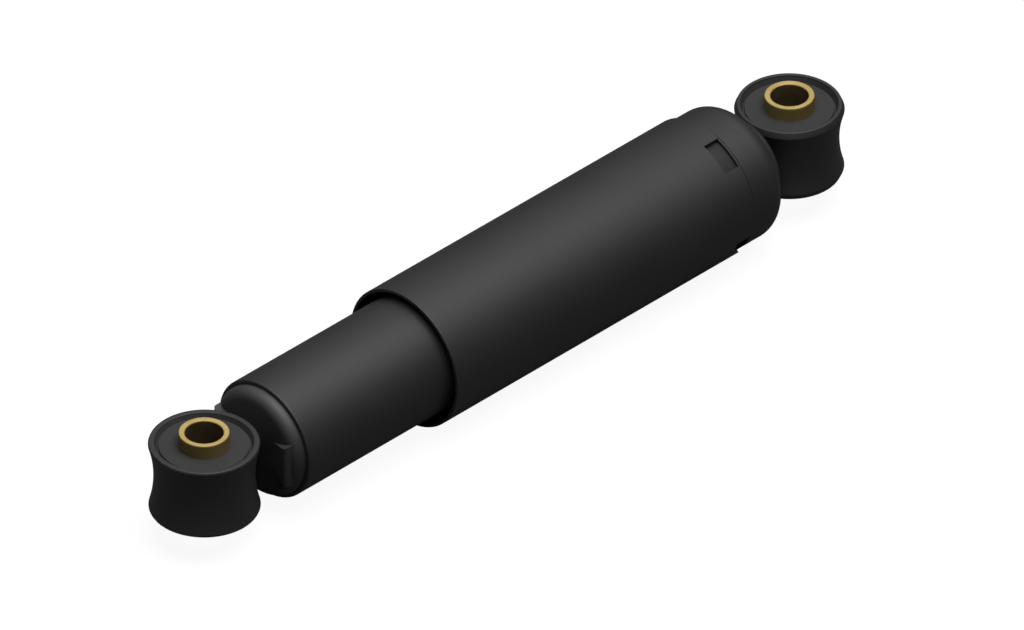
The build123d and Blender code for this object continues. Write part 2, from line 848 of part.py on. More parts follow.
# Dust tube: four tabs at its end are sheared and pressed into the cap's windows
with BuildPart() as dust_tube:
    with BuildSketch(station(dust_tube_mouth_x)):
        Circle(dust_tube_r)
        Circle(dust_bore_r, mode=Mode.SUBTRACT)
    extrude(amount=dust_tube_end_x - dust_tube_mouth_x)
    for index in range(tab_count):
        angle = tab_first_angle + index * 360 / tab_count - tab_arc / 2
        with BuildSketch(radial_plane(angle)):
            with BuildLine():
                Polyline(
                    (tab_start_x, dust_bore_r - tab_play),
                    (dust_tube_end_x, dust_bore_r - tab_play),
                    (dust_tube_end_x, dust_tube_r + tab_play),
                    (tab_start_x, dust_tube_r + tab_play),
                    close=True,
                )
            make_face()
        revolve(axis=Axis.X, revolution_arc=tab_arc, mode=Mode.SUBTRACT)
        with BuildSketch(radial_plane(angle)):
            with BuildLine():
                Polyline(
                    (tab_start_x - dust_tube_wall, dust_tube_r),
                    (tab_start_x - dust_tube_wall, tab_floor_r - dust_tube_wall),
                    (dust_tube_end_x, tab_floor_r - dust_tube_wall),
                    (dust_tube_end_x, tab_floor_r),
                    (tab_start_x, tab_floor_r),
                    (tab_start_x, dust_tube_r),
                    close=True,
                )
            make_face()
        revolve(axis=Axis.X, revolution_arc=tab_arc)
save(dust_tube, "dust_tube")

# Upper eye, turned end for end
upper_sleeve = make_sleeve(eye_distance)
save(upper_sleeve, "upper_sleeve")
upper_bush = make_bush(eye_distance)
save(upper_bush, "upper_bush")
upper_eye_ring = make_eye_ring(eye_distance, upper_lip_height, upper_lip_taper)
save(upper_eye_ring, "upper_eye_ring")

upper_neck = make_neck(eye_distance, boss_face_x, make_ring_blank(eye_distance, upper_lip_height))
save(upper_neck, "upper_neck")
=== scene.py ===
"""A trailer shock absorber: two rubber-bushed eyes, a reservoir tube and a dust tube that slides over it."""

import json
import math

import bmesh
import bpy
from mathutils import Matrix, Vector


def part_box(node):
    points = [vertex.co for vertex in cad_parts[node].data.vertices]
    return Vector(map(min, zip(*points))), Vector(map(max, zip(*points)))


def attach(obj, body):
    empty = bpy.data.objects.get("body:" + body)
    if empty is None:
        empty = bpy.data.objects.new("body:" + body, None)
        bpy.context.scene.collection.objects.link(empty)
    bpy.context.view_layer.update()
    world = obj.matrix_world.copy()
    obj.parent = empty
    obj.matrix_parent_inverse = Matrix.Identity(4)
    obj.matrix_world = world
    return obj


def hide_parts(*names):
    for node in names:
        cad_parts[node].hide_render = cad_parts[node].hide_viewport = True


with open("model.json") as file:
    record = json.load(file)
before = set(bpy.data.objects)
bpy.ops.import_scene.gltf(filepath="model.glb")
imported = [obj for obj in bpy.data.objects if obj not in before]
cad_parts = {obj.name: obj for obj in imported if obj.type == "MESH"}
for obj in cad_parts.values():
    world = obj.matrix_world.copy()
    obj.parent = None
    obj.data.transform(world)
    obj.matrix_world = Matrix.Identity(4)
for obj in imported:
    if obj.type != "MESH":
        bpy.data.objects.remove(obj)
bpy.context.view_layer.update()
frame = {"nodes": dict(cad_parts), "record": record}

MM = 0.001
FULL_TURN = 2 * math.pi

# Mesh fineness: each quarter of a ring has one tab of the dust tube in it, ten steps wide
QUARTERS = 4
QUARTER_STEPS = 33
TAB_STEPS = 10
RING_STEPS = QUARTERS * QUARTER_STEPS
STEP = FULL_TURN / RING_STEPS
FILLET_STEPS = 6
WAIST_CUTS = 23
SHARP_ANGLE = math.radians(32)
MERGE = 0.002 * MM

# Wall thicknesses, the roundings of painted and plated edges, and the strip beside one that keeps a wall flat
TUBE_WALL = 1.5 * MM
DUST_WALL = 1.0 * MM
CAP_WALL = 2.0 * MM
BASE_WALL = 2.5 * MM
RING_WALL = 2.0 * MM
PAINTED_EDGE = 0.2 * MM
SLEEVE_EDGE = 0.5 * MM
STRIP = 0.4 * MM

# Places and radii that the solids give
RESERVOIR_LOW, RESERVOIR_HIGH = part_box("reservoir_tube")
DUST_LOW, DUST_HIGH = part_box("dust_tube")
CAP_LOW, CAP_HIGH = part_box("upper_cap")
BASE_END_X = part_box("base_cap")[1].x
ROD_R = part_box("piston_rod")[1].z
BORE_R = frame["record"]["mounts"][0]["dims"]["r_mm"] * MM
LOWER_EYE_X = 0.0
UPPER_EYE_X = sum(corner.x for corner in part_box("upper_sleeve")) / 2
SLEEVE_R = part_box("upper_sleeve")[1].x - UPPER_EYE_X


def outline(corners):
    """A flat face in the XZ plane, from corners given as a place and a height."""
    shape = bmesh.new()
    shape.faces.new([shape.verts.new((x, 0, z)) for x, z in corners])
    shape.verts.ensure_lookup_table()
    return shape


def block(low, high):
    """A block between two opposite corners."""
    shape = bmesh.new()
    bmesh.ops.create_cube(shape, size=1)
    bmesh.ops.scale(shape, vec=high - low, verts=shape.verts[:])
    bmesh.ops.translate(shape, vec=(low + high) / 2, verts=shape.verts[:])
    return shape


def round_off(shape, parts, radius, steps, affect):
    """Rounds corners of an outline, or edges of a solid, by one radius."""
    bmesh.ops.bevel(
        shape,
        geom=parts,
        offset=radius,
        offset_type="OFFSET",
        segments=steps,
        profile=0.5,
        affect=affect,
        material=-1,
    )


def round_corners(shape, rounds):
    """Rounds corners of an outline, each by its own radius, with more steps on a larger one."""
    for corner, radius in [(shape.verts[index], radius) for index, radius in rounds.items()]:
        round_off(shape, [corner], radius, FILLET_STEPS + round(radius / MM), "VERTICES")
    return shape


def turn(shape, centre, axis):
    """Turns an outline about an axis into a solid ring."""
    bmesh.ops.delete(shape, geom=shape.faces[:], context="FACES_ONLY")
    bmesh.ops.spin(
        shape,
        geom=shape.verts[:] + shape.edges[:],
        cent=centre,
        axis=axis,
        angle=FULL_TURN,
        steps=RING_STEPS,
        use_merge=True,
        use_duplicate=False,
    )
    bmesh.ops.remove_doubles(shape, verts=shape.verts[:], dist=MERGE)
    bmesh.ops.recalc_face_normals(shape, faces=shape.faces[:])
    return shape


def draw_out(shape, faces, along=0, radial=1):
    """Extrudes faces along the strut, or towards its axis to a share of their radius."""
    drawn = bmesh.ops.extrude_face_region(shape, geom=faces)["geom"]
    verts = [item for item in drawn if isinstance(item, bmesh.types.BMVert)]
    bmesh.ops.scale(shape, vec=(1, radial, radial), verts=verts)
    bmesh.ops.translate(shape, vec=(along, 0, 0), verts=verts)
    left = [face for face in faces if face.is_valid]
    bmesh.ops.delete(shape, geom=left, context="FACES")


def smooth_over(mesh):
    """Shades a mesh smooth, except over its sharp edges."""
    mesh.polygons.foreach_set("use_smooth", [True] * len(mesh.polygons))
    mesh.set_sharp_from_angle(angle=SHARP_ANGLE)


def as_object(shape, name):
    """Makes an object of a bmesh."""
    mesh = bpy.data.meshes.new(name)
    shape.to_mesh(mesh)
    shape.free()
    smooth_over(mesh)
    piece = bpy.data.objects.new(name, mesh)
    bpy.context.scene.collection.objects.link(piece)
    return piece


def weld_on(piece, shape):
    """Joins a closed shape to a piece as one solid, and keeps the result as the piece's mesh."""
    added = as_object(shape, piece.name + "_added")
    modifier = piece.modifiers.new("weld", "BOOLEAN")
    modifier.operation = "UNION"
    modifier.solver = "EXACT"
    modifier.object = added
    graph = bpy.context.evaluated_depsgraph_get()
    mesh = bpy.data.meshes.new_from_object(piece.evaluated_get(graph))
    piece.modifiers.clear()
    spare = [piece.data, added.data]
    piece.data = mesh
    bpy.data.objects.remove(added)
    for old in spare:
        bpy.data.meshes.remove(old)
    mesh.name = piece.name
    smooth_over(mesh)


def place(piece, body, node, material):
    """Gives a piece its finish and its body, and lets it stand for its CAD node."""
    piece.data.materials.clear()
    piece.data.materials.append(material)
    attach(piece, body)
    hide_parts(node)
    return piece


# Finishes: noise patterns, each as its scale per metre and its detail
PAINT_DRIFT = (45, 4)
ORANGE_PEEL = (900, 2)
RUBBER_BLOOM = (70, 5)
MOULD_GRAIN = (2200, 3)
ZINC_DRIFT = (160, 3)
TURNING_MARKS = (120, 2)
# The pattern below drifts the painted shade inside a sleeve's bore
BORE_SHADE_DRIFT = (200, 3)
STEEL_DRIFT = (90, 3)
TOOL_MARKS = (150, 3)
BAND_FILL = (400, 4)

# How much closer marks lie along the bore of an eye, and along the strut
BORE_MARKS = (1, 1, 40)
STRUT_MARKS = (25, 1, 1)

# Relief: how high a pattern stands, and how strongly it shows
PEEL_RELIEF = (0.02 * MM, 0.25)
GRAIN_RELIEF = (0.03 * MM, 0.3)
MARK_RELIEF = (0.01 * MM, 0.2)

# The part of a noise pattern that a value, or a colour, runs over
VALUE_SPAN = (0.3, 0.7)
COLOUR_SPAN = (0.35, 0.65)

# Sheen is the specular level, and a range of roughness runs from its low to its high end
PAINT_COLOURS = ((0.0140, 0.0142, 0.0142), (0.0154, 0.0157, 0.0157))
PAINT_SHEEN = 0.5
PAINT_ROUGH = (0.5, 0.56)
# A share of the black and of its sheen, as painted shade on the pressed tabs
TAB_SHADE_SHARE = 0.7
# Painted light: the base cap's paint turns to this paler colour between these two heights, paler towards its
# top
TOP_LIT_COLOUR = (0.045, 0.045, 0.045)
TOP_LIT_HEIGHTS = (-8 * MM, 14 * MM)
RUBBER_COLOURS = ((0.052, 0.052, 0.053), (0.059, 0.059, 0.060))
RUBBER_SHEEN = 0.1
RUBBER_ROUGH = (0.6, 0.7)
ZINC_COLOURS = ((0.58, 0.41, 0.135), (0.68, 0.5, 0.19))
# A darker copy of the zinc, as painted shade on a sleeve's outside wall
SHADED_ZINC_COLOURS = ((0.16, 0.117, 0.039), (0.20, 0.147, 0.054))
ZINC_METAL = 0.1
ZINC_SHEEN = 0.25
ZINC_ROUGH = (0.34, 0.46)
# Painted shade inside a sleeve's bore
BORE_SHADE_COLOURS = ((0.050, 0.035, 0.017), (0.070, 0.049, 0.025))
BORE_SHEEN = 0.25
BORE_ROUGH = (0.45, 0.6)
BAND_COLOURS = ((0.17, 0.1, 0.06), (0.24, 0.15, 0.09))
BAND_ROUGH = (0.4, 0.55)

# Bare inner metals: two tints, how metallic they are, and their roughness
MACHINED = {
    "drawn_steel": (((0.5, 0.5, 0.5), (0.6, 0.6, 0.6)), 1, (0.25, 0.4)),
    "sintered_iron": (((0.22, 0.22, 0.23), (0.3, 0.3, 0.31)), 0.8, (0.5, 0.65)),
    "spring_steel": (((0.3, 0.32, 0.36), (0.42, 0.43, 0.46)), 1, (0.25, 0.35)),
    "bronze": (((0.52, 0.34, 0.16), (0.62, 0.43, 0.22)), 1, (0.28, 0.4)),
    "chrome": (((0.75, 0.75, 0.76), (0.8, 0.8, 0.8)), 1, (0.06, 0.1)),
}


def new_material(name):
    """A material, with its node tree and its shader."""
    material = bpy.data.materials.new(name)
    material.use_nodes = True
    tree = material.node_tree
    return material, tree, tree.nodes["Principled BSDF"]


def surface_noise(tree, pattern, stretch=(1, 1, 1)):
    """Noise over the object's own coordinates, in metres; stretch packs it closer along an axis."""
    scale, detail = pattern
    where = tree.nodes.new("ShaderNodeTexCoord")
    mapping = tree.nodes.new("ShaderNodeMapping")
    mapping.inputs["Scale"].default_value = stretch
    noise = tree.nodes.new("ShaderNodeTexNoise")
    noise.inputs["Scale"].default_value = scale
    noise.inputs["Detail"].default_value = detail
    tree.links.new(where.outputs["Object"], mapping.inputs["Vector"])
    tree.links.new(mapping.outputs["Vector"], noise.inputs["Vector"])
    return noise.outputs["Fac"]


def height_in(tree, output):
    """The upward part of a set of texture coordinates."""
    where = tree.nodes.new("ShaderNodeTexCoord")
    parts = tree.nodes.new("ShaderNodeSeparateXYZ")
    tree.links.new(where.outputs[output], parts.inputs["Vector"])
    return parts.outputs["Z"]


def vary(tree, pattern, ends, span=VALUE_SPAN):
    """Maps a span of a pattern to a value between two ends."""
    value = tree.nodes.new("ShaderNodeMapRange")
    value.inputs["From Min"].default_value, value.inputs["From Max"].default_value = span
    value.inputs["To Min"].default_value, value.inputs["To Max"].default_value = ends
    tree.links.new(pattern, value.inputs["Value"])
    return value.outputs["Result"]


def tint(tree, pattern, colours, span=COLOUR_SPAN):
    """Blends two colours over a span of a pattern."""
    ramp = tree.nodes.new("ShaderNodeValToRGB")
    for element, position, colour in zip(ramp.color_ramp.elements, span, colours):
        element.position = position
        element.color = (*colour, 1)
    tree.links.new(pattern, ramp.inputs["Fac"])
    return ramp.outputs["Color"]


def raise_by(tree, shader, pattern, relief):
    """Lets a pattern stand out of the surface."""
    bump = tree.nodes.new("ShaderNodeBump")
    bump.inputs["Distance"].default_value, bump.inputs["Strength"].default_value = relief
    tree.links.new(pattern, bump.inputs["Height"])
    tree.links.new(bump.outputs["Normal"], shader.inputs["Normal"])


def stoving_paint(name, sheen):
    """Satin paint on steel, before its colour: a gloss that drifts, and fine orange peel."""
    material, tree, shader = new_material(name)
    shader.inputs["Specular IOR Level"].default_value = sheen
    drift = surface_noise(tree, PAINT_DRIFT)
    tree.links.new(vary(tree, drift, PAINT_ROUGH), shader.inputs["Roughness"])
    raise_by(tree, shader, surface_noise(tree, ORANGE_PEEL), PEEL_RELIEF)
    return material, tree, shader, drift


def black_paint(name, share=1):
    """The paint's own black, or a share of it and of its sheen as painted shade."""
    material, tree, shader, drift = stoving_paint(name, PAINT_SHEEN * share)
    colours = [[value * share for value in colour] for colour in PAINT_COLOURS]
    tree.links.new(tint(tree, drift, colours), shader.inputs["Base Color"])
    return material


def top_lit_paint():
    """The base cap's paint, paler towards its top: painted light, as if lit from above."""
    material, tree, shader, _ = stoving_paint("top_lit_paint", PAINT_SHEEN)
    height = vary(tree, height_in(tree, "Object"), (0, 1), TOP_LIT_HEIGHTS)
    tree.links.new(tint(tree, height, (PAINT_COLOURS[0], TOP_LIT_COLOUR), (0, 1)), shader.inputs["Base Color"])
    return material


def moulded_rubber():
    """Carbon-black rubber with the fine grain of its mould."""
    material, tree, shader = new_material("moulded_rubber")
    shader.inputs["Specular IOR Level"].default_value = RUBBER_SHEEN
    bloom = surface_noise(tree, RUBBER_BLOOM)
    tree.links.new(tint(tree, bloom, RUBBER_COLOURS), shader.inputs["Base Color"])
    tree.links.new(vary(tree, bloom, RUBBER_ROUGH), shader.inputs["Roughness"])
    raise_by(tree, shader, surface_noise(tree, MOULD_GRAIN), GRAIN_RELIEF)
    return material


def yellow_zinc(name, colours):
    """Yellow passivated zinc on a turned steel sleeve: a straw tint that drifts, and fine turning marks."""
    material, tree, shader = new_material(name)
    shader.inputs["Metallic"].default_value = ZINC_METAL
    shader.inputs["Specular IOR Level"].default_value = ZINC_SHEEN
    marks = surface_noise(tree, TURNING_MARKS, BORE_MARKS)
    tree.links.new(tint(tree, surface_noise(tree, ZINC_DRIFT), colours), shader.inputs["Base Color"])
    tree.links.new(vary(tree, marks, ZINC_ROUGH), shader.inputs["Roughness"])
    raise_by(tree, shader, marks, MARK_RELIEF)
    return material


def shaded_bore():
    """The sleeve's bore, darkened as painted shade, with a tint that drifts."""
    material, tree, shader = new_material("shaded_bore")
    shader.inputs["Specular IOR Level"].default_value = BORE_SHEEN
    shade_drift = surface_noise(tree, BORE_SHADE_DRIFT)
    tree.links.new(tint(tree, shade_drift, BORE_SHADE_COLOURS), shader.inputs["Base Color"])
    tree.links.new(vary(tree, shade_drift, BORE_ROUGH), shader.inputs["Roughness"])
    return material


def machined(name, colours, metallic, roughness):
    """Bare inner metal: a slight tint drift and fine marks from its tool."""
    material, tree, shader = new_material(name)
    shader.inputs["Metallic"].default_value = metallic
    marks = surface_noise(tree, TOOL_MARKS, STRUT_MARKS)
    tree.links.new(tint(tree, surface_noise(tree, STEEL_DRIFT), colours), shader.inputs["Base Color"])
    tree.links.new(vary(tree, marks, roughness), shader.inputs["Roughness"])
    raise_by(tree, shader, marks, MARK_RELIEF)
    return material


def band_plastic():
    """The piston band's bronze-filled plastic."""
    material, tree, shader = new_material("low_friction_band")
    fill = surface_noise(tree, BAND_FILL)
    tree.links.new(tint(tree, fill, BAND_COLOURS), shader.inputs["Base Color"])
    tree.links.new(vary(tree, fill, BAND_ROUGH), shader.inputs["Roughness"])
    return material


paint = black_paint("black_paint")
# The second black is painted shade for the pressed tabs
shaded_tab_paint = black_paint("shaded_tab_paint", TAB_SHADE_SHARE)
rubber = moulded_rubber()
zinc = yellow_zinc("yellow_zinc", ZINC_COLOURS)
# The darker zinc is painted shade on a sleeve's outside wall
shaded_zinc = yellow_zinc("shaded_zinc", SHADED_ZINC_COLOURS)
# Painted shade for a sleeve's bore
bore_shade = shaded_bore()
finishes = {name: machined(name, *look) for name, look in MACHINED.items()}
finishes.update(black_paint=paint, rubber=rubber, yellow_zinc=zinc, low_friction_band=band_plastic())
for subpart in frame["record"]["subparts"]:
    node_mesh = frame["nodes"][subpart["node"]].data
    node_mesh.materials.clear()
    node_mesh.materials.append(finishes[subpart["material_slot"]])


# Eyes: the ring's radii, each end's lip as its height and taper, and how far a rim stands past the solid's
RIM_R = 17.6 * MM
WAIST_R = 15.95 * MM
INNER_RIM_R = RIM_R - RING_WALL
INNER_WAIST_R = WAIST_R - RING_WALL
LIPS = {"lower": (0.7 * MM, 0.35 * MM), "upper": (2.0 * MM, 0.9 * MM)}
RIM_RISE = {"lower": 0.3 * MM, "upper": 0.8 * MM}

# The bush's face: a lip below the rim, a slope down to a moat, and a flat island round the sleeve
DISH_LIP = 0.12 * MM
DISH_WALL = 0.75 * MM
MOAT_DEPTH = 0.8 * MM
MOAT_WIDTH = 0.45 * MM
MOAT_SLOPE = 0.15 * MM
ISLAND_RISE = 0.25 * MM
BUSH_PLAY = 0.005 * MM


def eye_sleeve(end, eye_x):
    """A turned sleeve with rounded edges."""
    low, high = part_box(end + "_sleeve")
    section = ((BORE_R, low.z), (SLEEVE_R, low.z), (SLEEVE_R, high.z), (BORE_R, high.z))
    shape = outline([(eye_x + radius, z) for radius, z in section])
    round_corners(shape, {index: SLEEVE_EDGE for index in range(len(section))})
    return as_object(turn(shape, (eye_x, 0, 0), (0, 0, 1)), end + "_sleeve_finished")


def shade_sleeve_walls(sleeve, eye_x):
    """Paints shade on a sleeve: a darker copy of the zinc on its outside wall, and a dark tint in its bore.
    """
    sleeve.data.materials.append(bore_shade)
    sleeve.data.materials.append(shaded_zinc)
    for face in sleeve.data.polygons:
        radius = math.hypot(face.center.x - eye_x, face.center.y)
        if radius < BORE_R + MERGE:
            face.material_index = 1
        elif radius > SLEEVE_R - SLEEVE_EDGE / 2:
            face.material_index = 2


def rim_height(end):
    """How far a ring's rims stand from the middle of its eye."""
    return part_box(end + "_eye_ring")[1].z + RIM_RISE[end]


def waist_radius(z, rim, waist, half):
    """The radius at a height of the arc from rim to waist to rim."""
    drop = rim - waist
    bow = (half**2 + drop**2) / (2 * drop)
    return waist + bow - math.sqrt(bow**2 - z**2)


def draw_in(shape, eye_x, rim, waist, half):
    """Draws the standing edges of an outline at the rim's radius in to a waist."""
    walls = [
        edge
        for edge in shape.edges
        if all(abs(vert.co.x - eye_x - rim) < MERGE for vert in edge.verts)
    ]
    cut = bmesh.ops.subdivide_edges(shape, edges=walls, cuts=WAIST_CUTS)
    for vert in cut["geom_inner"]:
        if isinstance(vert, bmesh.types.BMVert):
            vert.co.x = eye_x + waist_radius(vert.co.z, rim, waist, half)


def eye_ring(end, eye_x):
    """A ring drawn in at its waist, with a tapered lip round each rim."""
    half = rim_height(end)
    lip_height, lip_taper = LIPS[end]
    lip_z = half - lip_height
    section = (
        (INNER_RIM_R, -half),
        (RIM_R - lip_taper, -half),
        (RIM_R, -lip_z),
        (RIM_R, lip_z),
        (RIM_R - lip_taper, half),
        (INNER_RIM_R, half),
    )
    shape = outline([(eye_x + radius, z) for radius, z in section])
    draw_in(shape, eye_x, INNER_RIM_R, INNER_WAIST_R, half)
    draw_in(shape, eye_x, RIM_R, WAIST_R, lip_z)
    corners = []
    for vert in shape.verts:
        at_rim = abs(abs(vert.co.z) - half) < MERGE
        at_lip = abs(abs(vert.co.z) - lip_z) < MERGE and vert.co.x > eye_x + WAIST_R
        if at_rim or at_lip:
            corners.append(vert)
    round_off(shape, corners, PAINTED_EDGE, FILLET_STEPS, "VERTICES")
    return as_object(turn(shape, (eye_x, 0, 0), (0, 0, 1)), end + "_eye_ring_finished")


def eye_bush(end, eye_x):
    """Rubber that fills the ring from rim to rim, with a moat round the flat of each face."""
    face_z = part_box(end + "_bush")[1].z + ISLAND_RISE
    moat_z = face_z - MOAT_DEPTH
    rim_z = rim_height(end) - DISH_LIP
    moat_r = INNER_RIM_R - DISH_WALL
    island_r = moat_r - MOAT_WIDTH
    face_r = island_r - MOAT_SLOPE
    bore_r = SLEEVE_R + BUSH_PLAY
    section = (
        (bore_r, -face_z),
        (face_r, -face_z),
        (island_r, -moat_z),
        (moat_r, -moat_z),
        (INNER_RIM_R, -rim_z),
        (INNER_RIM_R, rim_z),
        (moat_r, moat_z),
        (island_r, moat_z),
        (face_r, face_z),
        (bore_r, face_z),
    )
    shape = outline([(eye_x + radius, z) for radius, z in section])
    draw_in(shape, eye_x, INNER_RIM_R, INNER_WAIST_R, rim_z)
    return as_object(turn(shape, (eye_x, 0, 0), (0, 0, 1)), end + "_bush_finished")


for end, eye_x, sleeve_body, eye_body in (
    ("lower", LOWER_EYE_X, "lower_mount", "cylinder"),
    ("upper", UPPER_EYE_X, "upper_mount", "rod"),
):
    sleeve = place(eye_sleeve(end, eye_x), sleeve_body, end + "_sleeve", zinc)
    # A sleeve's outside wall and its bore get painted shade
    shade_sleeve_walls(sleeve, eye_x)
    place(eye_bush(end, eye_x), eye_body, end + "_bush", rubber)
    place(eye_ring(end, eye_x), eye_body, end + "_eye_ring", paint)


# Tubes and caps, all turned about the strut
STRUT = ((0, 0, 0), (1, 0, 0))
TAB_MIDDLE = math.radians(32)
TAB_START = TAB_MIDDLE - TAB_STEPS * STEP / 2
TAB_LENGTH = 6.7 * MM
TAB_DEPTH = 2.0 * MM
TAB_X = DUST_HIGH.x - TAB_LENGTH
TAB_STEP_X = TAB_X - DUST_WALL
DUST_R = DUST_HIGH.z
DUST_BORE_R = DUST_R - DUST_WALL
TAB_FLOOR_R = DUST_R - TAB_DEPTH
TAB_UNDER_R = TAB_FLOOR_R - DUST_WALL


def steps_round(point):
    """How many steps round the strut a point lies from the start of the first tab."""
    return (math.atan2(-point.y, point.z) - TAB_START) / STEP % RING_STEPS


def pick(shape, x, radius, in_tab):
    """Faces whose middle lies at a station and a radius, inside the tabs' sectors or between them."""
    picked = []
    for face in shape.faces:
        middle = face.calc_center_median()
        near = abs(middle.x - x) < STRIP and abs(math.hypot(middle.y, middle.z) - radius) < STRIP
        if near and (steps_round(middle) % QUARTER_STEPS < TAB_STEPS) == in_tab:
            picked.append(face)
    return picked


def turn_strut(corners, rounds):
    """Turns a profile about the strut, its first step at the edge of a tab."""
    shape = turn(round_corners(outline(corners), rounds), *STRUT)
    start = Matrix.Rotation(TAB_START, 3, "X")
    bmesh.ops.rotate(shape, verts=shape.verts[:], cent=(0, 0, 0), matrix=start)
    return shape


def reservoir_tube():
    """The outer tube of the damper, rolled over at its top."""
    outer, inner, end_x = RESERVOIR_HIGH.z, RESERVOIR_HIGH.z - TUBE_WALL, RESERVOIR_HIGH.x
    foot_edge, roll, lip_r = 0.6 * MM, 4.0 * MM, 14.8 * MM
    corners = [
        (RESERVOIR_LOW.x, inner),
        (RESERVOIR_LOW.x, outer),
        (RESERVOIR_LOW.x + foot_edge + STRIP, outer),
        (end_x - roll - STRIP, outer),
        (end_x, outer),
        (end_x, lip_r),
        (end_x - TUBE_WALL, lip_r),
        (end_x - TUBE_WALL, inner),
        (end_x - roll - STRIP, inner),
    ]
    rounds = {1: foot_edge, 4: roll, 5: PAINTED_EDGE, 6: PAINTED_EDGE, 7: roll - TUBE_WALL}
    return as_object(turn_strut(corners, rounds), "reservoir_tube_finished")


def dust_tube():
    """A drawn tube whose end is sheared into four tabs, each pressed in with a step."""
    shape = turn_strut(
        [
            (DUST_LOW.x, DUST_BORE_R),
            (DUST_LOW.x, DUST_R),
            (DUST_LOW.x + PAINTED_EDGE + STRIP, DUST_R),
            (TAB_STEP_X, DUST_R),
            (TAB_X, DUST_R),
            (TAB_X, DUST_BORE_R),
            (TAB_STEP_X, DUST_BORE_R),
        ],
        {1: PAINTED_EDGE},
    )
    draw_out(shape, pick(shape, TAB_X, DUST_R - DUST_WALL / 2, False), along=TAB_LENGTH)
    step_x = (TAB_STEP_X + TAB_X) / 2
    draw_out(shape, pick(shape, step_x, DUST_BORE_R, True), radial=TAB_FLOOR_R / DUST_BORE_R)
    draw_out(shape, pick(shape, step_x, TAB_FLOOR_R, True), radial=TAB_UNDER_R / TAB_FLOOR_R)
    draw_out(shape, pick(shape, TAB_X, (TAB_FLOOR_R + TAB_UNDER_R) / 2, True), along=TAB_LENGTH)
    bmesh.ops.remove_doubles(shape, verts=shape.verts[:], dist=MERGE)
    bmesh.ops.recalc_face_normals(shape, faces=shape.faces[:])
    return as_object(shape, "dust_tube_finished")


def shade_tabs(tube):
    """Paints shade on the pressed tabs' floors, with a darker, duller share of the black."""
    tube.data.materials.append(shaded_tab_paint)
    for face in tube.data.polygons:
        if math.hypot(face.center.y, face.center.z) < TAB_FLOOR_R + STRIP and face.center.x > TAB_X:
            face.material_index = 1


def upper_cap():
    """A pressed cap: a skirt with a window for each tab, a round shoulder and a raised boss."""
    face_x, end_x = 237.0 * MM, CAP_HIGH.x
    shoulder, boss_r, boss_edge, crease = 6.6 * MM, 15.6 * MM, 2.6 * MM, 0.6 * MM
    groove_depth, groove_width = 0.2 * MM, 0.95 * MM
    skirt_r, boss_wall_r = DUST_BORE_R, boss_r - CAP_WALL
    inner_r, inner_x = skirt_r - CAP_WALL, face_x - CAP_WALL
    corners = [
        (CAP_LOW.x, inner_r),
        (CAP_LOW.x, skirt_r),
        (TAB_STEP_X, skirt_r),
        (DUST_HIGH.x, skirt_r),
        (DUST_HIGH.x, skirt_r - groove_depth),
        (DUST_HIGH.x + groove_width, skirt_r - groove_depth),
        (DUST_HIGH.x + groove_width, skirt_r),
        (face_x - shoulder - STRIP, skirt_r),
        (face_x, skirt_r),
        (face_x, boss_r + crease),
        (face_x - crease, boss_r),
        (end_x - boss_edge - STRIP, boss_r),
        (end_x, boss_r),
        (end_x, boss_r - boss_edge - STRIP),
        (end_x, ROD_R),
        (end_x - CAP_WALL, ROD_R),
        (end_x - CAP_WALL, boss_wall_r - boss_edge),
        (end_x - boss_edge, boss_wall_r),
        (inner_x, boss_wall_r),
        (inner_x, inner_r),
        (face_x - shoulder - STRIP, inner_r),
        (DUST_HIGH.x, inner_r),
        (TAB_STEP_X, inner_r),
    ]
    shape = turn_strut(corners, {8: shoulder, 12: boss_edge, 19: shoulder - CAP_WALL})
    window_x = (TAB_STEP_X + DUST_HIGH.x) / 2
    for radius in (skirt_r, inner_r):
        bmesh.ops.delete(shape, geom=pick(shape, window_x, radius, True), context="FACES")
    rims = [edge for edge in shape.edges if edge.is_boundary]
    for quarter in range(QUARTERS):
        window = []
        for edge in rims:
            steps = (steps_round(edge.verts[0].co) + 1) % RING_STEPS
            if steps // QUARTER_STEPS == quarter:
                window.append(edge)
        bmesh.ops.bridge_loops(shape, edges=window)
    bmesh.ops.recalc_face_normals(shape, faces=shape.faces[:])
    return as_object(shape, "upper_cap_finished")


# The base cap as the photograph shows it: a flat face, a round corner and two wedges beside the eye
BASE_FACE_X = 22.0 * MM
BASE_INNER_X = BASE_FACE_X + BASE_WALL
BASE_R = RESERVOIR_HIGH.z - TUBE_WALL
BASE_CORNER = 3.5 * MM

# An ear is lower at its root, which is sunk in the face, and stands proud of the face at its tip
EAR_FRONT_X = 19.1 * MM
EAR_ROOT = 7.3 * MM
EAR_REACH = 16.3 * MM
EAR_HALF_HEIGHT = 7.5 * MM
EAR_ROOT_SHARE = 0.625
EAR_SINK = 0.36 * MM
EAR_EDGE = 2.0 * MM


def base_ear(side):
    """A wedge that stands proudest, and is highest, at its outer end."""
    back_x = BASE_FACE_X + BASE_CORNER
    low_y, high_y = sorted((side * EAR_ROOT, side * EAR_REACH))
    shape = block(Vector((EAR_FRONT_X, low_y, -EAR_HALF_HEIGHT)), Vector((back_x, high_y, EAR_HALF_HEIGHT)))
    middle_x = (EAR_FRONT_X + back_x) / 2
    middle_reach = (EAR_ROOT + EAR_REACH) / 2
    root = [vert for vert in shape.verts if abs(vert.co.y) < middle_reach]
    tip = [vert for vert in shape.verts if abs(vert.co.y) > middle_reach and vert.co.x < middle_x]
    bmesh.ops.scale(shape, vec=(1, 1, EAR_ROOT_SHARE), verts=root)
    root_front = [vert for vert in root if vert.co.x < middle_x]
    bmesh.ops.translate(shape, vec=(BASE_FACE_X - EAR_FRONT_X + EAR_SINK, 0, 0), verts=root_front)
    tip_edge = [edge for edge in shape.edges if all(vert in tip for vert in edge.verts)]
    round_off(shape, tip_edge, EAR_EDGE, FILLET_STEPS, "EDGES")
    bmesh.ops.recalc_face_normals(shape, faces=shape.faces[:])
    return shape


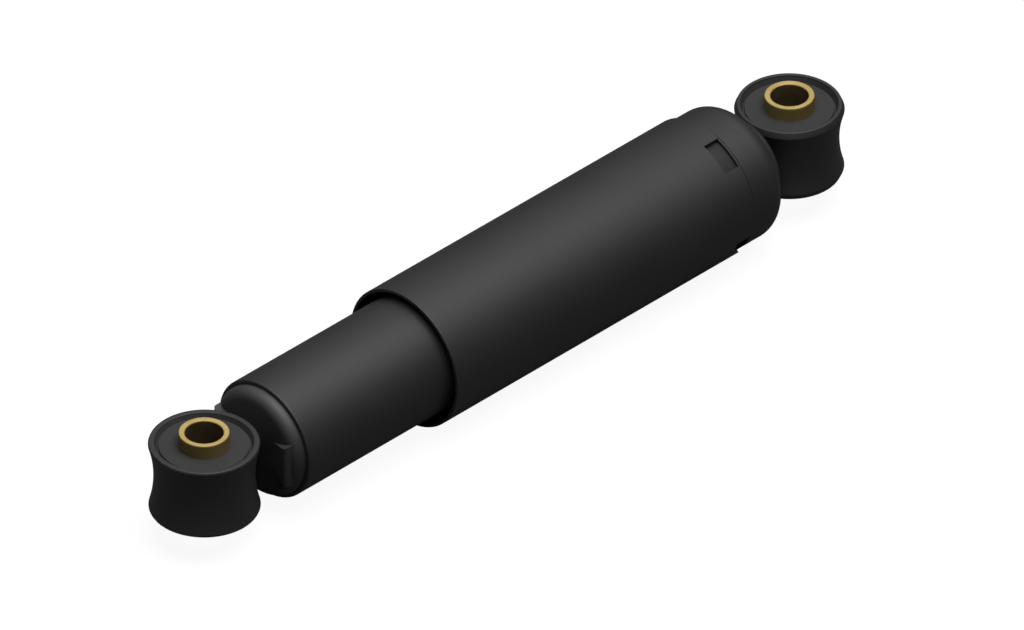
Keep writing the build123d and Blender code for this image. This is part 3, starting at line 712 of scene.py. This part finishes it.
def base_cap():
    """A cup that closes the foot of the reservoir tube, with an ear each side of the eye."""
    skirt_r = BASE_R - BASE_WALL
    corners = [
        (BASE_FACE_X, 0),
        (BASE_FACE_X, BASE_R - BASE_CORNER - STRIP),
        (BASE_FACE_X, BASE_R),
        (BASE_FACE_X + BASE_CORNER + STRIP, BASE_R),
        (BASE_END_X, BASE_R),
        (BASE_END_X, skirt_r),
        (BASE_INNER_X, skirt_r),
        (BASE_INNER_X, 0),
    ]
    cap = as_object(turn_strut(corners, {2: BASE_CORNER, 6: BASE_CORNER - BASE_WALL}), "base_cap_finished")
    for side in (-1, 1):
        weld_on(cap, base_ear(side))
    return cap


# Necks from the caps to the eyes, sunk into both where they are welded
NECK_HALF_WIDTH = 2.6 * MM
NECK_HALF_HEIGHT = 4.0 * MM
NECK_EDGE = 1.0 * MM
WELD_SINK = 0.4 * MM


def neck(name, low_x, high_x):
    """A short bar from a cap's face into the wall of an eye ring."""
    corner = Vector((0, NECK_HALF_WIDTH, NECK_HALF_HEIGHT))
    shape = block(Vector((low_x, 0, 0)) - corner, Vector((high_x, 0, 0)) + corner)
    long_edges = [edge for edge in shape.edges if abs(edge.verts[0].co.x - edge.verts[1].co.x) > MERGE]
    round_off(shape, long_edges, NECK_EDGE, FILLET_STEPS, "EDGES")
    return as_object(shape, name + "_finished")


def trimmed(node, low_x):
    """A copy of a CAD piece that starts at a station, closed where it is cut."""
    shape = bmesh.new()
    shape.from_mesh(frame["nodes"][node].data)
    bmesh.ops.remove_doubles(shape, verts=shape.verts[:], dist=MERGE)
    cut = bmesh.ops.bisect_plane(
        shape,
        geom=shape.verts[:] + shape.edges[:] + shape.faces[:],
        plane_co=(low_x, 0, 0),
        plane_no=(1, 0, 0),
        clear_inner=True,
    )
    rim = [item for item in cut["geom_cut"] if isinstance(item, bmesh.types.BMEdge)]
    bmesh.ops.holes_fill(shape, edges=rim)
    return as_object(shape, node + "_finished")


place(reservoir_tube(), "cylinder", "reservoir_tube", paint)
# The base cap's paint is paler towards its top: painted light
place(base_cap(), "cylinder", "base_cap", top_lit_paint())
# The pressed tabs get painted shade
shade_tabs(place(dust_tube(), "rod", "dust_tube", paint))
place(upper_cap(), "rod", "upper_cap", paint)
ring_inside = INNER_WAIST_R + WELD_SINK
lower_neck = neck("lower_neck", ring_inside, BASE_FACE_X + WELD_SINK)
place(lower_neck, "cylinder", "lower_neck", paint)
upper_neck = neck("upper_neck", CAP_HIGH.x - WELD_SINK, UPPER_EYE_X - ring_inside)
place(upper_neck, "rod", "upper_neck", paint)
for node, slot_name in (("base_valve_body", "sintered_iron"), ("base_valve_bolt", "drawn_steel")):
    place(trimmed(node, BASE_INNER_X), "cylinder", node, finishes[slot_name])


# Room: a pale floor, a pale backdrop all round and one soft studio lamp above
FLOOR_HALF = 6
FLOOR_GREY = 0.14
FLOOR_ROUGH = 0.9
FLOOR_GLOW = 0.93
AMBIENT = 0.05
SKY_ENDS = (0.15, 0.85)
WHITE = (1, 1, 1, 1)
LAMP_WAY = (0, -0.22, 1)
LAMP_DISTANCE = 1.6
LAMP_SIZE = 1.4
LAMP_STRENGTH = 3.1


def calculate(tree, operation, first, second):
    """One step of arithmetic on two outputs."""
    step = tree.nodes.new("ShaderNodeMath")
    step.operation = operation
    tree.links.new(first, step.inputs[0])
    tree.links.new(second, step.inputs[1])
    return step.outputs[0]


def seen_directly(tree, shine=None):
    """1 for what the camera or clear glass sees, shine for a reflection, and 0 for the light on things."""
    path = tree.nodes.new("ShaderNodeLightPath")
    seen = calculate(tree, "MAXIMUM", path.outputs["Is Camera Ray"], path.outputs["Is Transmission Ray"])
    if shine is None:
        return seen
    reflected = calculate(tree, "MULTIPLY", path.outputs["Is Glossy Ray"], shine)
    return calculate(tree, "MAXIMUM", seen, reflected)


def floor_material():
    """Pale floor that the camera sees as near white, with the shadow kept."""
    material, tree, shader = new_material("pale_floor")
    shader.inputs["Base Color"].default_value = (FLOOR_GREY, FLOOR_GREY, FLOOR_GREY, 1)
    shader.inputs["Roughness"].default_value = FLOOR_ROUGH
    shader.inputs["Specular IOR Level"].default_value = 0
    glow = tree.nodes.new("ShaderNodeEmission")
    glow.inputs["Color"].default_value = WHITE
    tree.links.new(vary(tree, seen_directly(tree), (0, FLOOR_GLOW), (0, 1)), glow.inputs["Strength"])
    both = tree.nodes.new("ShaderNodeAddShader")
    tree.links.new(shader.outputs[0], both.inputs[0])
    tree.links.new(glow.outputs[0], both.inputs[1])
    tree.links.new(both.outputs[0], tree.nodes["Material Output"].inputs["Surface"])
    return material


def make_floor():
    """A wide floor that the strut lies on."""
    shape = bmesh.new()
    bmesh.ops.create_grid(shape, x_segments=1, y_segments=1, size=FLOOR_HALF)
    bmesh.ops.translate(shape, verts=shape.verts[:], vec=(UPPER_EYE_X / 2, 0, DUST_LOW.z))
    floor = as_object(shape, "floor")
    floor.data.materials.append(floor_material())


def make_world():
    """Faint light from all round, and a backdrop that is white to the camera and dimmer in a shine."""
    world = bpy.data.worlds.new("studio")
    world.use_nodes = True
    tree = world.node_tree
    light = tree.nodes["Background"]
    light.inputs["Color"].default_value = WHITE
    light.inputs["Strength"].default_value = AMBIENT
    backdrop = tree.nodes.new("ShaderNodeBackground")
    backdrop.inputs["Color"].default_value = WHITE
    backdrop.inputs["Strength"].default_value = 1
    mix = tree.nodes.new("ShaderNodeMixShader")
    overhead = vary(tree, height_in(tree, "Generated"), (0, 1), SKY_ENDS)
    tree.links.new(seen_directly(tree, overhead), mix.inputs[0])
    tree.links.new(light.outputs[0], mix.inputs[1])
    tree.links.new(backdrop.outputs[0], mix.inputs[2])
    tree.links.new(mix.outputs[0], tree.nodes["World Output"].inputs["Surface"])
    bpy.context.scene.world = world


def make_lamp():
    """A soft square lamp above the strut, with its strength there in watts per square metre."""
    lamp = bpy.data.lights.new("top_lamp", "AREA")
    lamp.shape = "SQUARE"
    lamp.size = LAMP_SIZE
    lamp.energy = LAMP_STRENGTH * math.pi * LAMP_DISTANCE**2
    holder = bpy.data.objects.new("top_lamp", lamp)
    bpy.context.scene.collection.objects.link(holder)
    way = Vector(LAMP_WAY).normalized()
    holder.location = Vector((UPPER_EYE_X / 2, 0, 0)) + way * LAMP_DISTANCE
    holder.rotation_euler = way.to_track_quat("Z", "Y").to_euler()


make_floor()
make_world()
make_lamp()

# Camera: a long lens at the isometric angle, framed as the photograph
PIXELS_WIDE = 1024
PIXELS_PER_METRE = 3206.7
LENS = 1000
SENSOR = 36
CLIP_NEAR = 1
CLIP_FAR = 40
AIM = Vector((0.088019, -0.047662, 0.040357))
VIEW_FROM = Vector((-1, -1, 1)).normalized()
RIGHT = Vector((1, -1, 0)).normalized()

camera_data = bpy.data.cameras.new("camera")
camera_data.lens = LENS
camera_data.sensor_width = SENSOR
camera_data.clip_start = CLIP_NEAR
camera_data.clip_end = CLIP_FAR
camera = bpy.data.objects.new("camera", camera_data)
bpy.context.scene.collection.objects.link(camera)
distance = PIXELS_WIDE / PIXELS_PER_METRE * LENS / SENSOR
turned = Matrix((RIGHT, VIEW_FROM.cross(RIGHT), VIEW_FROM)).transposed()
camera.matrix_world = Matrix.Translation(AIM + VIEW_FROM * distance) @ turned.to_4x4()
bpy.context.scene.camera = camera
bpy.context.scene.view_settings.view_transform = "Standard"
